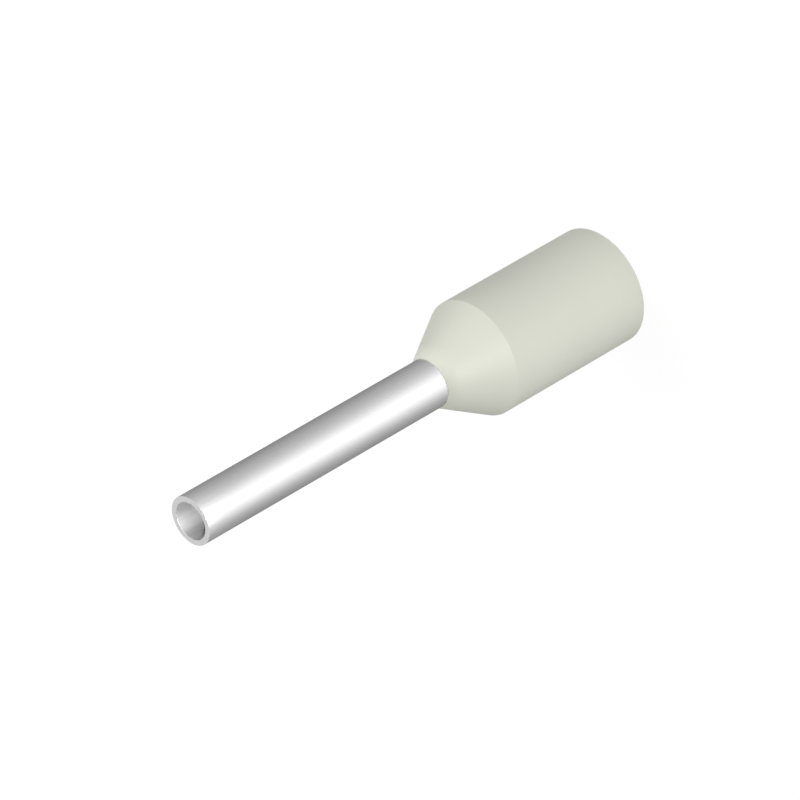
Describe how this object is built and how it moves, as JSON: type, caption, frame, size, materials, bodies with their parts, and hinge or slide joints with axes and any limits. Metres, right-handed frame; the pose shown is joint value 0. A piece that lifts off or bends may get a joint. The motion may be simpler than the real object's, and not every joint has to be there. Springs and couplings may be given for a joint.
{
  "type": "insulated wire ferrule",
  "caption": "Small insulated wire ferrule: a straight tin-plated metal pin sleeve with a pale conical plastic collar that guides the stripped wire in.",
  "frame": {"origin": "centre of the collar's wire-entry end face, on which the ferrule stands", "axes": "+Z along the ferrule's axis, from the wire entry to the tip of the pin; X and Y are free, because the part is a body of revolution"},
  "size_m": [0.0032, 0.003, 0.014],
  "materials": {
    "tin_plate": "bright tin plate on copper",
    "collar_plastic": "satin moulded plastic, greenish white"
  },
  "bodies": {
    "root": {"metal_sleeve": "tin_plate", "insulating_collar": "collar_plastic"}
  },
  "joints": []
}
